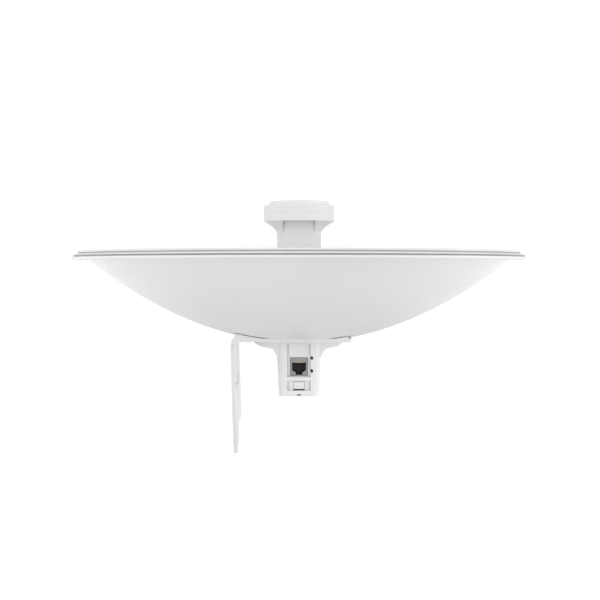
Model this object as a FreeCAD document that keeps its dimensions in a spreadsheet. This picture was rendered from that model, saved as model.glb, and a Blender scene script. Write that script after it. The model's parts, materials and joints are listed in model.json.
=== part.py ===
import FreeCAD, Part
import Sketcher

import math
import os

# Outdoor wireless bridge: a dish reflector on a folded bracket, with a radio feed that
# plugs through the middle of the dish into a rear housing. Sizes are in millimetres.
#
# Every sub-part is drawn about the dish's axis, with z = 0 at the lowest point of the
# dish's outer curve. Its Placement then moves it so that the origin of the finished part
# is the centre of the pivot hole, on the outer face of the bracket's side plate.

SIZES = {
    # Where the dish's axis and lowest point are, seen from the pivot hole.
    "axis_x": 61.0,
    "axis_z": 90.0,
    # Dish reflector: a drawn steel sheet with a hollow rolled edge.
    "focal_length": 123.0,
    "dish_sheet": 1.2,
    "hub_height": 6.0,
    "hub_hole_radius": 23.3,
    "rim_top": 84.8,
    "rim_crest_radius": 203.8,
    "rim_crest_foot": 83.1,
    "rim_shoulder_top": 82.3,
    "rim_groove_depth": 0.9,
    "rim_shoulder_radius": 206.0,
    "rim_shoulder_height": 81.9,
    "rim_ledge_radius": 208.3,
    "rim_ledge_top": 80.5,
    "rim_radius": 209.5,
    "rim_lip_top": 79.4,
    "rim_lip_bottom": 77.2,
    "rim_return_radius": 195.4,
    "rim_apex_height": 81.2,
    "rim_inner_shoulder": 80.88,
    "rim_inner_ledge": 206.2,
    "rim_inner_ledge_top": 80.2,
    "rim_inner_ledge_low": 78.9,
    "rim_inner_lip": 78.6,
    "rim_fold": 1.5,
    "rim_edge": 0.45,
    "rim_slant": 0.1,
    "rim_crest_edge": 0.5,
    # Holes shared by the hub and the bracket.
    "bolt_x": 30.0,
    "bolt_y": 12.0,
    "bolt_hole_radius": 3.3,
    "screw_x": 31.0,
    "screw_hole_radius": 2.25,
    # Mounting bracket: one folded plate.
    "plate": 3.0,
    "base_left": 58.0,
    "base_far_left": 55.0,
    "side_plate_far": 27.0,
    "base_right": 47.5,
    "base_half_depth": 48.0,
    "base_corner": 3.0,
    "base_hole_radius": 24.0,
    "side_shoulder_depth": -48.0,
    "side_shoulder_height": 1.0,
    "side_shoulder_corner": 3.0,
    "side_front_depth": -53.0,
    "side_front_height": -4.0,
    "side_front_corner": 4.0,
    "side_waist_depth": -34.0,
    "side_waist_height": -60.0,
    "side_waist_corner": 30.0,
    "side_knee_depth": -18.0,
    "side_knee_height": -88.0,
    "side_knee_corner": 8.0,
    "side_tip_half": 6.5,
    "side_tip_height": -104.5,
    "side_heel_depth": 21.0,
    "side_heel_height": -89.0,
    "side_corner": 6.0,
    "side_ledge_depth": 28.0,
    "side_ledge_height": -79.0,
    "side_ledge_corner": 3.0,
    "side_back_depth": 67.0,
    "side_back_height": -74.0,
    "gusset_right": 44.5,
    "gusset_bend": 47.0,
    "gusset_middle": 38.0,
    "gusset_foot": 31.0,
    "dish_gap": 0.1,
    "fold_radius": 2.8,
    "pivot_depth": 90.0,
    "pivot_radius": 4.25,
    "arc_radius": 55.0,
    "arc_half_angle": 20.0,
    "arc_half_width": 4.25,
    "tick_count": 9.0,
    "tick_step": 5.0,
    "tick_inner": 60.5,
    "tick_length": 3.5,
    "tick_half_width": 0.3,
    "tick_depth": 0.5,
    # Rear housing: wings under the bracket and a neck around the feed's tail.
    "housing_floor": -49.0,
    "neck_half_width_low": 18.5,
    "neck_half_width_high": 21.0,
    "neck_front": 21.5,
    "neck_back": 19.0,
    "neck_corner": 6.0,
    "housing_bottom_corner": 1.2,
    "wing_half_depth": 20.0,
    "wing_tip": 41.0,
    "wing_corner": 6.0,
    "wing_edge": 0.0,
    "wing_slope_half": 36.0,
    "wing_slope": -2.8,
    "wing_flat_half": 26.0,
    "wing_root_half": 24.7,
    "wing_flat": -4.9,
    "wing_flare_half": 22.2,
    "wing_flare": -9.1,
    "wing_foot_half": 20.0,
    "wing_foot": -13.0,
    "bore_half_width": 16.8,
    "bore_front": 19.3,
    "bore_back": 16.6,
    "bore_corner": 8.2,
    "bore_floor": -46.8,
    "wing_pocket_inner": 23.5,
    "wing_pocket_outer": 36.5,
    "wing_pocket_depth": 18.2,
    "wing_rib": 5.8,
    "wing_pocket_floor": -1.4,
    "window_half_width": 10.6,
    "window_top": -0.5,
    "crossbar_top": -31.3,
    "crossbar_bottom": -34.5,
    "window_bottom": -43.7,
    "lamp_x": 11.9,
    "lamp_z": -13.6,
    "reset_z": -25.5,
    "notch_radius": 1.7,
    "notch_depth": 5.2,
    "notch_x": 11.5,
    "drain_half_width": 1.9,
    "drain_top": -47.1,
    "drain_bottom": -48.3,
    "drain_depth": 8.5,
    # Fasteners.
    "bolt_radius": 3.0,
    "bolt_head_radius": 5.25,
    "bolt_head_height": 3.3,
    "bolt_tip_corner": 0.5,
    "bolt_head_edge": 0.6,
    "bolt_crown_share": 0.65,
    "bolt_crown_corner": 1.2,
    "bolt_socket_radius": 2.3,
    "bolt_socket_depth": 2.0,
    "nut_across_flats": 10.0,
    "nut_height": 3.2,
    "nut_fit": 0.02,
    "screw_radius": 2.0,
    "screw_head_radius": 3.6,
    "screw_head_height": 2.4,
    "screw_tip": -2.0,
    "screw_point": 0.3,
    "screw_taper": 0.4,
    "screw_fit": 0.02,
    "screw_crown_corner": 1.2,
    "cross_reach": 1.9,
    "cross_half_width": 0.35,
    "cross_depth": 1.3,
    "screw_pilot_floor": -2.4,
    # Feed body: collar, tube with two flat faces, flare and the cup of the head.
    "gasket": 2.0,
    "gasket_corner": 0.4,
    "gasket_inner": 23.6,
    "gasket_outer": 25.6,
    "collar_radius": 25.8,
    "collar_top": 13.2,
    "collar_foot_corner": 0.6,
    "collar_corner": 0.8,
    "flare_start_corner": 8.0,
    "flare_mid_corner": 9.0,
    "flare_end_corner": 0.6,
    "head_corner": 0.4,
    "tube_radius": 20.7,
    "tube_bore": 18.6,
    "tube_flat": 15.4,
    "tube_bore_flat": 13.4,
    "facet_inner": 12.6,
    "facet_outer": 15.0,
    "flare_start": 103.7,
    "flare_mid_radius": 26.0,
    "flare_mid_height": 109.0,
    "flare_end_radius": 31.6,
    "head_bottom": 112.4,
    "head_rise": 0.5,
    "head_radius": 32.9,
    "head_bore": 30.7,
    "head_floor": 114.8,
    "cup_top": 120.8,
    "seam": 0.3,
    "rail_inner": 13.2,
    "rail_outer": 19.2,
    "rail_height": 1.6,
    "rail_gap": 0.08,
    "rail_bottom": 16.0,
    "rail_top": 100.0,
    # Tail of the feed, which plugs into the rear housing.
    "tail_half_width": 16.4,
    "tail_front": 18.9,
    "tail_back": 16.0,
    "tail_corner": 8.0,
    "tail_wall": 2.0,
    "tail_bottom": -46.5,
    "tail_groove_inner": 10.1,
    "tail_groove_outer": 10.9,
    "tail_groove_depth": 1.1,
    "tail_cavity_top": 8.0,
    "boss_x": 10.2,
    "boss_y": 10.6,
    "boss_radius": 3.2,
    "boss_top": -30.0,
    "boss_hole_radius": 1.3,
    "boss_hole_spare": 0.5,
    # Cap of the head.
    "cap_top": 131.5,
    "cap_step": 127.8,
    "cap_step_radius": 28.0,
    "cap_wall": 2.0,
    "cap_line_height": 124.8,
    "cap_line": 0.4,
    "skirt_radius": 30.3,
    "skirt_bore": 28.5,
    "skirt_bottom": 117.6,
    "seal_bottom": 118.5,
    "seal_top": 120.1,
    "seal_groove_radius": 29.5,
    "seal_outer": 30.65,
    "seal_corner": 0.3,
    "cap_step_corner": 0.8,
    "cap_inner_corner": 0.5,
    "cap_crown_corner": 1.6,
    # Antenna parts inside the head.
    "ground_radius": 30.2,
    "ground_top": 116.3,
    "ground_hole_radius": 2.4,
    "spacer_inner": 20.0,
    "spacer_outer": 23.0,
    "spacer_top": 127.5,
    "subreflector_radius": 25.5,
    "subreflector_top": 128.7,
    "dipole_half_width": 18.5,
    "dipole_top": 126.5,
    "dipole_waist": 121.4,
    "dipole_board": 0.8,
    "dipole_slot": 1.0,
    "pin_radius": 0.5,
    "pin_x": 0.95,
    "pin_y": 6.5,
    "pin_bottom": 96.0,
    "pin_top": 119.0,
    # Main board and what it carries. The front of the board faces the port.
    "board_half_width": 14.0,
    "board_front": 5.8,
    "board_back": 4.2,
    "board_bottom": -42.0,
    "board_top": 104.0,
    "shield_half_width": 11.5,
    "shield_front": 9.2,
    "shield_sheet": 0.5,
    "radio_bottom": 62.0,
    "radio_top": 94.0,
    "processor_bottom": 20.0,
    "processor_top": 52.0,
    "chip_front": 7.4,
    "pad_front": 8.7,
    "processor_half": 7.0,
    "processor_z": 40.0,
    "radio_half": 5.0,
    "radio_z": 78.0,
    "memory_half_width": 6.0,
    "memory_bottom": 22.5,
    "memory_top": 30.5,
    "transformer_half_width": 8.0,
    "transformer_bottom": -9.5,
    "transformer_top": 2.0,
    "transformer_front": 10.8,
    "capacitor_x": 8.0,
    "capacitor_z": 8.5,
    "capacitor_radius": 3.0,
    "capacitor_front": 12.2,
    "spreader_half_width": 11.5,
    "spreader_base": 2.6,
    "spreader_back": -2.4,
    "spreader_bottom": 20.0,
    "spreader_top": 96.0,
    "fin_half_width": 0.8,
    "fin_pitch": 5.0,
    "fin_count": 5.0,
    "led_half": 0.8,
    "led_front": 6.9,
    "lens_radius": 1.3,
    "lens_back": 7.2,
    "lens_front": 17.6,
    "lens_hole_radius": 1.4,
    "switch_half": 2.0,
    "switch_front": 9.3,
    "button_radius": 1.2,
    "button_hole_radius": 1.55,
    "button_flange_radius": 1.75,
    "button_flange_front": 13.5,
    "button_flange_back": 12.6,
    "button_back": 10.6,
    "flange_gap": 0.2,
    "button_front": 17.6,
    # Network port.
    "port_half_width": 8.2,
    "port_top": -13.2,
    "port_bottom": -30.2,
    "port_front": 18.7,
    "port_sheet": 0.5,
    "port_face": 17.2,
    "port_hole_gap": 0.25,
    "insert_top": -14.0,
    "plug_half_width": 6.4,
    "plug_top": -18.1,
    "plug_bottom": -25.3,
    "notch_half_width": 3.1,
    "notch_top": -27.4,
    "notch_bottom": -29.3,
    "plug_back": 7.6,
    "insert_front": 16.6,
    "contact_half_width": 0.2,
    "contact_pitch": 1.02,
    "contact_count": 8.0,
    "contact_front": 16.4,
    "contact_back": 9.0,
    "contact_drop": 2.6,
    "contact_thickness": 0.4,
    "port_seal": 0.8,
    "port_seal_front": 16.8,
    "port_seal_back": 15.8,
    # Release latch: the tab in the tail's front face.
    "latch_half_width": 4.85,
    "latch_top": -35.4,
    "latch_hinge_y": 18.1,
    "latch_hinge_z": -36.2,
    "latch_hinge_radius": 0.8,
    "latch_bottom": -42.5,
    "latch_side_gap": 0.3,
    "latch_foot_gap": 1.5,
    "latch_back": 17.3,
    "latch_rib_top": -39.6,
    "latch_rib_bottom": -40.4,
    "latch_rib": 0.2,
    "latch_rib_inset": 1.0,
    # Plug that closes the tail, and its screws.
    "plug_gap": 0.2,
    "tail_plug_top": -44.5,
    "tail_screw_radius": 1.25,
    "tail_screw_head_radius": 2.4,
    "tail_screw_head": 1.4,
    "tail_screw_top": -34.0,
    "tail_screw_gap": 0.1,
}

# For each sketch plane: the attachment offset axis that shifts it, and that shift's sign.
PLANES = {"XY": 1.0, "XZ": -1.0, "YZ": 1.0}


class Size:
    """A number together with the sheet expression that gives it."""

    def __init__(self, value, text):
        self.value = value
        self.text = text

    def __add__(self, other):
        return combined(self, "+", other, self.value + sized(other).value)

    def __sub__(self, other):
        return combined(self, "-", other, self.value - sized(other).value)

    def __mul__(self, other):
        return combined(self, "*", other, self.value * sized(other).value)

    def __truediv__(self, other):
        return combined(self, "/", other, self.value / sized(other).value)

    def __neg__(self):
        return Size(-self.value, f"-{self.text}")


def sized(number):
    """Give plain numbers the same form as the sheet's sizes."""
    return number if isinstance(number, Size) else Size(float(number), f"{float(number)}")


def combined(left, sign, right, value):
    """Join two sizes into one expression."""
    return Size(value, f"({left.text} {sign} {sized(right).text})")


def root(size):
    """The square root of a size."""
    return Size(math.sqrt(size.value), f"sqrt({size.text})")


class SizeTable:
    """The sheet's sizes, each under its own name."""


def make_sheet(doc):
    """Write the sizes into the spreadsheet and return them by name."""
    sheet = doc.addObject("Spreadsheet::Sheet", "Sheet")
    table = SizeTable()
    for row, (name, value) in enumerate(SIZES.items(), start=1):
        sheet.set(f"A{row}", name)
        sheet.set(f"B{row}", str(value))
        sheet.setAlias(f"B{row}", name)
        setattr(table, name, Size(value, f"Sheet.{name}"))
    doc.recompute()
    return table


doc = FreeCAD.newDocument("wireless_bridge")
s = make_sheet(doc)
SUBPARTS = []


# ---------------------------------------------------------------- drawing helpers


def new_body(name):
    """A body for one sub-part, placed on the dish's axis."""
    body = doc.addObject("PartDesign::Body", name)
    body.Label = name
    body.AllowCompound = True
    body.setExpression(".Placement.Base.x", s.axis_x.text)
    body.setExpression(".Placement.Base.z", s.axis_z.text)
    SUBPARTS.append(body)
    return body


def new_sketch(body, plane, shift=0.0, across=0.0, up=0.0):
    """A sketch on one of the body's origin planes, moved along the plane's normal."""
    sketch = body.newObject("Sketcher::SketchObject", f"{body.Name}_sketch")
    role = f"{plane}_Plane"
    origin = [item for item in body.Origin.OriginFeatures if item.Role == role]
    sketch.AttachmentSupport = [(origin[0], "")]
    sketch.MapMode = "FlatFace"
    moves = (("x", sized(across)), ("y", sized(up)), ("z", sized(shift) * PLANES[plane]))
    for axis, move in moves:
        sketch.setExpression(f".AttachmentOffset.Base.{axis}", move.text)
    return sketch


def pin_point(sketch, rules, geometry, point, corner):
    """Queue the two distances that fix a point of the sketch."""
    for kind, size in zip(("DistanceX", "DistanceY"), corner):
        if size is not None:
            number = sized(size)
            rules.append((Sketcher.Constraint(kind, -1, 1, geometry, point, number.value), number))


def apply_rules(sketch, rules):
    """Add the queued constraints and bind the sized ones to the sheet."""
    for rule, number in rules:
        index = sketch.addConstraint(rule)
        if number is not None:
            sketch.setExpression(f"Constraints[{index}]", number.text)


def draw_circle(sketch, x, y, radius):
    """A circle with its centre and radius fixed by the sheet."""
    centre = FreeCAD.Vector(sized(x).value, sized(y).value, 0)
    circle = Part.Circle(centre, FreeCAD.Vector(0, 0, 1), radius.value)
    index = sketch.addGeometry(circle, False)
    rules = [(Sketcher.Constraint("Radius", index, radius.value), radius)]
    pin_point(sketch, rules, index, 3, (x, y))
    apply_rules(sketch, rules)


def corner_arc(before, corner, after, radius):
    """The arc that rounds a corner: its geometry, its two ends and whether it turns left."""
    back = (before - corner).normalize()
    ahead = (after - corner).normalize()
    half = back.getAngle(ahead) / 2.0
    reach = radius / math.tan(half)
    centre = corner + (back + ahead).normalize() * (radius / math.sin(half))
    start = corner + back * reach
    end = corner + ahead * reach
    left = back.cross(ahead).z < 0
    first, last = (start, end) if left else (end, start)
    angles = [math.atan2(point.y - centre.y, point.x - centre.x) for point in (first, last)]
    if angles[1] < angles[0]:
        angles[1] += 2.0 * math.pi
    circle = Part.Circle(centre, FreeCAD.Vector(0, 0, 1), radius)
    return Part.ArcOfCircle(circle, angles[0], angles[1]), start, end, left


def draw_outline(sketch, corners):
    """A closed outline of straight lines. A corner is (x, y) or (x, y, rounding radius)."""
    count = len(corners)
    points = [FreeCAD.Vector(sized(c[0]).value, sized(c[1]).value, 0) for c in corners]
    starts, ends, arcs = list(points), list(points), {}
    for i, corner in enumerate(corners):
        if len(corner) > 2:
            around = (points[i - 1], points[i], points[(i + 1) % count])
            arc, ends[i], starts[i], left = corner_arc(*around, sized(corner[2]).value)
            arcs[i] = (sketch.addGeometry(arc, False), left)
    lines = []
    for i in range(count):
        line = Part.LineSegment(starts[i], ends[(i + 1) % count])
        lines.append(sketch.addGeometry(line, False))
    rules = []
    for i, corner in enumerate(corners):
        if i not in arcs:
            rules.append((Sketcher.Constraint("Coincident", lines[i - 1], 2, lines[i], 1), None))
            pin_point(sketch, rules, lines[i], 1, corner[:2])
            continue
        arc, left = arcs[i]
        near, far = (1, 2) if left else (2, 1)
        mark = sketch.addGeometry(Part.Point(points[i]), True)
        pin_point(sketch, rules, mark, 1, corner[:2])
        radius = sized(corner[2])
        rules += [
            (Sketcher.Constraint("PointOnObject", mark, 1, lines[i - 1]), None),
            (Sketcher.Constraint("PointOnObject", mark, 1, lines[i]), None),
            (Sketcher.Constraint("Tangent", lines[i - 1], 2, arc, near), None),
            (Sketcher.Constraint("Tangent", arc, far, lines[i], 1), None),
            (Sketcher.Constraint("Radius", arc, radius.value), radius),
        ]
    apply_rules(sketch, rules)


def parabola_radius(vertex, height):
    """How far from the axis the dish's parabola reaches a height."""
    return root(s.focal_length * 4.0 * (height - vertex))


def parabola_point(vertex, height):
    """The same place as a point of the sketch."""
    return FreeCAD.Vector(parabola_radius(vertex, height).value, height.value, 0)


def draw_parabola(sketch, vertex, low, high):
    """Part of the dish's parabola, drawn from a high point down to a low one.

    A parabola is exactly a curve with three poles. The middle pole is where the tangents
    at the two ends cross. Returns the curve's index in the sketch.
    """
    far, near = parabola_radius(vertex, high), parabola_radius(vertex, low)
    crossing = vertex + far * near / (s.focal_length * 4.0)
    poles = ((far, high), ((far + near) / 2.0, crossing), (near, low))
    curve = Part.BSplineCurve()
    places = [FreeCAD.Vector(x.value, y.value, 0) for x, y in poles]
    curve.buildFromPolesMultsKnots(places, [3, 3], [0.0, 1.0], False, 2)
    index = sketch.addGeometry(curve, False)
    sketch.exposeInternalGeometry(index)
    inner = range(index + 1, len(sketch.Geometry))
    marks = [i for i in inner if isinstance(sketch.Geometry[i], Part.Circle)]
    rules = []
    for mark, pole in zip(marks, poles):
        pin_point(sketch, rules, mark, 3, pole)
    apply_rules(sketch, rules)
    return index


def draw_chain(sketch, first, corners, last):
    """Lines through the corners, from the end of one curve to the start of another.

    first and last are (curve, point number, position) of the two curve ends.
    """
    points = [first[2]]
    points += [FreeCAD.Vector(sized(x).value, sized(y).value, 0) for x, y in corners]
    points.append(last[2])
    lines = []
    for start, end in zip(points, points[1:]):
        lines.append(sketch.addGeometry(Part.LineSegment(start, end), False))
    rules = [(Sketcher.Constraint("Coincident", first[0], first[1], lines[0], 1), None)]
    for i, corner in enumerate(corners):
        rules.append((Sketcher.Constraint("Coincident", lines[i], 2, lines[i + 1], 1), None))
        pin_point(sketch, rules, lines[i + 1], 1, corner)
    rules.append((Sketcher.Constraint("Coincident", lines[-1], 2, last[0], last[1]), None))
    apply_rules(sketch, rules)


# ---------------------------------------------------------------- solid helpers


def extrude(body, plane, low, high, draw, cut=False):
    """Add or cut a slab between two positions along the plane's normal."""
    low, high = sized(low), sized(high)
    sketch = new_sketch(body, plane, high if plane == "XZ" else low)
    draw(sketch)
    kind = "PartDesign::Pocket" if cut else "PartDesign::Pad"
    feature = body.newObject(kind, f"{body.Name}_slab")
    feature.Profile = (sketch, [""])
    feature.Type = "Length"
    feature.Reversed = cut
    feature.setExpression("Length", (high - low).text)
    sketch.Visibility = False
    return feature


def turn(body, draw, cut=False, across=0.0, toward=0.0):
    """Add or cut a solid of revolution about an upright axis."""
    sketch = new_sketch(body, "XZ", shift=toward, across=across)
    draw(sketch)
    kind = "PartDesign::Groove" if cut else "PartDesign::Revolution"
    feature = body.newObject(kind, f"{body.Name}_turned")
    feature.Profile = (sketch, [""])
    feature.ReferenceAxis = (sketch, ["V_Axis"])
    feature.Angle = 360.0
    sketch.Visibility = False
    return feature


def outline(*corners):
    """A drawing step for one closed outline."""
    return lambda sketch: draw_outline(sketch, corners)


def circles(radius, *centres):
    """A drawing step for circles of one size."""

    def draw(sketch):
        for x, y in centres:
            draw_circle(sketch, x, y, radius)

    return draw


def box(left, right, low, high, radius=None):
    """A drawing step for a rectangle, with rounded corners when a radius is given."""
    corners = [(left, low), (right, low), (right, high), (left, high)]
    if radius is not None:
        corners = [(x, y, radius) for x, y in corners]
    return outline(*corners)


def symmetric_box(half_width, low, high, radius=None):
    """A rectangle centred on the dish's axis."""
    return box(-half_width, half_width, low, high, radius)


def round_edges(body, radius, wanted):
    """Fillet the edges of the body's last feature that the test picks out."""
    doc.recompute()
    base = body.Tip
    names = [f"Edge{i}" for i, edge in enumerate(base.Shape.Edges, start=1) if wanted(edge)]
    fillet = body.newObject("PartDesign::Fillet", f"{body.Name}_round")
    fillet.Base = (base, names)
    fillet.setExpression("Radius", sized(radius).text)
    return fillet


def block(name, half_width, front, back, low, high, centre_x=0.0):
    """A box-shaped sub-part on the front of the main board."""
    body = new_body(name)
    left, right = sized(centre_x) - half_width, sized(centre_x) + half_width
    extrude(body, "XZ", -front, -back, box(left, right, low, high))
    return body


def hollow_block(name, low, high):
    """A shield can: a shallow box that is open toward the board."""
    body = block(name, s.shield_half_width, s.shield_front, s.board_front, low, high)
    inner = symmetric_box(s.shield_half_width - s.shield_sheet, low + s.shield_sheet,
                          high - s.shield_sheet)
    extrude(body, "XZ", s.shield_sheet - s.shield_front, -s.board_front, inner, cut=True)
    return body


def all_corners(x, y):
    """The four points that mirror one point about both axes."""
    return [(x, y), (-x, y), (-x, -y), (x, -y)]


# ---------------------------------------------------------------- dish and bracket


def make_dish():
    """The reflector: parabolic sheet, flat hub and hollow rolled edge."""
    body = new_body("dish_reflector")
    sheet = s.dish_sheet
    outer_vertex, inner_vertex = sized(0.0), s.dish_sheet
    hub_top = s.hub_height + sheet

    def draw(sketch):
        outer = draw_parabola(sketch, outer_vertex, s.hub_height, s.rim_apex_height)
        inner = draw_parabola(sketch, inner_vertex, hub_top, s.rim_top)
        crest, shoulder, ledge = s.rim_crest_radius, s.rim_shoulder_radius, s.rim_ledge_radius
        groove, edge, slant = s.rim_groove_depth, s.rim_edge, s.rim_slant
        lip, low, high = s.rim_radius, s.rim_lip_bottom, s.rim_lip_top
        roll = (
            (shoulder - sheet, s.rim_inner_shoulder),
            (s.rim_inner_ledge, s.rim_inner_ledge_top),
            (s.rim_inner_ledge, s.rim_inner_ledge_low),
            (lip - sheet, s.rim_inner_lip),
            (lip - sheet, low + sheet),
            (s.rim_return_radius + s.rim_fold, low + sheet),
            (s.rim_return_radius, low),
            (lip - edge, low),
            (lip, low + edge),
            (lip, high - edge),
            (lip - edge, high),
            (ledge - groove, high),
            (ledge - groove, s.rim_ledge_top - slant),
            (ledge, s.rim_ledge_top + slant),
            (shoulder, s.rim_shoulder_height),
            (crest + groove, s.rim_shoulder_top),
            (crest - groove, s.rim_shoulder_top),
            (crest - groove, s.rim_crest_foot - slant),
            (crest, s.rim_crest_foot),
            (crest, s.rim_top - s.rim_crest_edge),
            (crest - s.rim_crest_edge, s.rim_top),
        )
        apex = (outer, 1, parabola_point(outer_vertex, s.rim_apex_height))
        mouth = (inner, 1, parabola_point(inner_vertex, s.rim_top))
        draw_chain(sketch, apex, roll, mouth)
        hub = ((s.hub_hole_radius, hub_top), (s.hub_hole_radius, s.hub_height))
        hub_inner = (inner, 2, parabola_point(inner_vertex, hub_top))
        hub_outer = (outer, 2, parabola_point(outer_vertex, s.hub_height))
        draw_chain(sketch, hub_inner, hub, hub_outer)

    turn(body, draw)
    cut_fixing_holes(body, s.hub_height, hub_top)


def cut_fixing_holes(body, low, high):
    """Bolt and screw holes through the hub or the bracket."""
    bolts = circles(s.bolt_hole_radius, *all_corners(s.bolt_x, s.bolt_y))
    screws = circles(s.screw_hole_radius, (s.screw_x, 0.0), (-s.screw_x, 0.0))
    extrude(body, "XY", low, high, bolts, cut=True)
    extrude(body, "XY", low, high, screws, cut=True)


def make_bracket():
    """The folded bracket: base, two gussets and the side plate with its pivot and slot."""
    body = new_body("mounting_bracket")
    base_low = s.hub_height - s.plate
    outer_face = -s.base_left - s.plate
    depth = s.base_half_depth
    base = outline(
        (outer_face, -depth),
        (s.base_right, -depth, s.base_corner),
        (s.base_right, depth, s.base_corner),
        (-s.base_far_left, depth),
        (-s.base_far_left, s.side_plate_far),
        (outer_face, s.side_plate_far),
    )
    extrude(body, "XY", base_low, s.hub_height, base)
    for left, low, high in (
        (s.base_left, -depth, -depth + s.plate),
        (s.base_far_left, depth - s.plate, depth),
    ):
        corners = [(-left, base_low), (s.gusset_right, base_low)]
        for x in (s.gusset_right, s.gusset_middle, s.gusset_foot):
            corners.append((x, dish_height(x)))
        for x in (s.gusset_foot, s.gusset_middle, s.gusset_bend, left):
            corners.append((-x, dish_height(x)))
        extrude(body, "XZ", low, high, outline(*corners))
    extrude(body, "YZ", outer_face, -s.base_left, outline(*side_plate_corners()))
    extrude(body, "XY", base_low, s.hub_height, circles(s.base_hole_radius, (0.0, 0.0)), cut=True)
    cut_fixing_holes(body, base_low, s.hub_height)
    cut_side_plate(body, outer_face)
    round_edges(body, s.fold_radius, lambda edge: on_fold(edge, outer_face.value))


def dish_height(x):
    """How high the inner face of a gusset may reach at a distance from the dish's axis."""
    inner_face = s.base_half_depth - s.plate
    return (x * x + inner_face * inner_face) / (s.focal_length * 4.0) - s.dish_gap


def side_plate_corners():
    """Outline of the side plate as (depth, height, rounding radius)."""
    top, corner, tip = s.hub_height, s.side_corner, s.side_tip_half
    return (
        (-s.base_half_depth, top),
        (s.side_shoulder_depth, s.side_shoulder_height, s.side_shoulder_corner),
        (s.side_front_depth, s.side_front_height, s.side_front_corner),
        (s.side_waist_depth, s.side_waist_height, s.side_waist_corner),
        (s.side_knee_depth, s.side_knee_height, s.side_knee_corner),
        (-tip, s.side_tip_height, corner),
        (tip, s.side_tip_height, corner),
        (s.side_heel_depth, s.side_heel_height, corner),
        (s.side_ledge_depth, s.side_ledge_height, s.side_ledge_corner),
        (s.side_back_depth, s.side_ledge_height, s.side_ledge_corner),
        (s.side_back_depth, s.side_back_height, s.side_front_corner),
        (s.side_plate_far, sized(0.0), corner),
        (s.side_plate_far, top),
    )


def cut_side_plate(body, outer_face):
    """Pivot hole, curved elevation slot and the tick marks beside it."""
    inner_face = -s.base_left
    pivot = circles(s.pivot_radius, (0.0, -s.pivot_depth))
    extrude(body, "YZ", outer_face, inner_face, pivot, cut=True)
    cut_arc_slot(body, outer_face, inner_face)
    for step in range(int(s.tick_count.value)):
        angle = (step - (s.tick_count.value - 1.0) / 2.0) * s.tick_step.value
        extrude(body, "YZ", outer_face, outer_face + s.tick_depth, tick(angle), cut=True)


def around_pivot(radius, degrees, sideways=0.0):
    """A point given by its distance and angle from the pivot, 0 being straight up."""
    swing = math.radians(degrees)
    shift = sized(sideways)
    across = radius * math.sin(swing) + shift * math.cos(swing)
    up = radius * math.cos(swing) - shift * math.sin(swing) - s.pivot_depth
    return across, up


def tick(degrees):
    """A short mark pointing at the pivot."""
    inner, outer = s.tick_inner, s.tick_inner + s.tick_length
    half = s.tick_half_width
    return outline(
        around_pivot(inner, degrees, -half),
        around_pivot(inner, degrees, half),
        around_pivot(outer, degrees, half),
        around_pivot(outer, degrees, -half),
    )


def cut_arc_slot(body, outer_face, inner_face):
    """A slot of constant width that follows a circle about the pivot, with round ends."""
    sketch = new_sketch(body, "XZ", up=-s.pivot_depth)
    low, high = s.arc_radius - s.arc_half_width, s.arc_radius + s.arc_half_width
    box(outer_face, inner_face, low, high)(sketch)
    slot = body.newObject("PartDesign::Groove", f"{body.Name}_slot")
    slot.Profile = (sketch, [""])
    slot.ReferenceAxis = (sketch, ["H_Axis"])
    slot.Midplane = True
    slot.setExpression("Angle", (s.arc_half_angle * 2.0).text)
    sketch.Visibility = False
    swing = s.arc_half_angle.value
    ends = (around_pivot(s.arc_radius, swing), around_pivot(s.arc_radius, -swing))
    extrude(body, "YZ", outer_face, inner_face, circles(s.arc_half_width, *ends), cut=True)


def on_fold(edge, outer_face):
    """Whether an edge is the sharp outer corner of the fold."""
    bounds = edge.BoundBox
    flat = bounds.XLength < 0.01 and bounds.ZLength < 0.01
    top = abs(bounds.ZMax - s.hub_height.value) < 0.01
    return flat and top and abs(bounds.XMin - outer_face) < 0.01 and bounds.YLength > 10.0


# ---------------------------------------------------------------- rear housing


def make_housing():
    """The housing behind the dish: wings, neck, windows and the drain slot."""
    body = new_body("rear_housing")
    top = s.hub_height - s.plate
    right = (
        (s.wing_tip, top),
        (s.wing_tip, s.wing_edge),
        (s.wing_slope_half, s.wing_slope),
        (s.wing_flat_half, s.wing_flat),
        (s.wing_root_half, s.wing_flat),
        (s.wing_flare_half, s.wing_flare),
        (s.wing_foot_half, s.wing_foot),
    )
    left = [(-x, z) for x, z in reversed(right)]
    wings = [*right, *left]
    half_depth = s.wing_half_depth
    extrude(body, "XZ", -half_depth, half_depth, outline(*reversed(wings)))
    round_edges(body, s.wing_corner, on_wing_tip)
    add_neck(body, top)
    round_edges(body, s.housing_bottom_corner, on_housing_bottom)
    bore = symmetric_box(s.bore_half_width, -s.bore_front, s.bore_back, s.bore_corner)
    extrude(body, "XY", s.bore_floor, top, bore, cut=True)
    cut_wings(body, top)
    cut_front(body)


def on_wing_tip(edge):
    """Whether an edge is an upright corner at the end of a wing."""
    bounds = edge.BoundBox
    upright = bounds.XLength < 0.01 and bounds.YLength < 0.01
    return upright and abs(abs(bounds.XMin) - s.wing_tip.value) < 0.01


def on_housing_bottom(edge):
    """Whether an edge is on the outline of the housing's bottom face."""
    bounds = edge.BoundBox
    return bounds.ZLength < 0.01 and abs(bounds.ZMin - s.housing_floor.value) < 0.01


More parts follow.
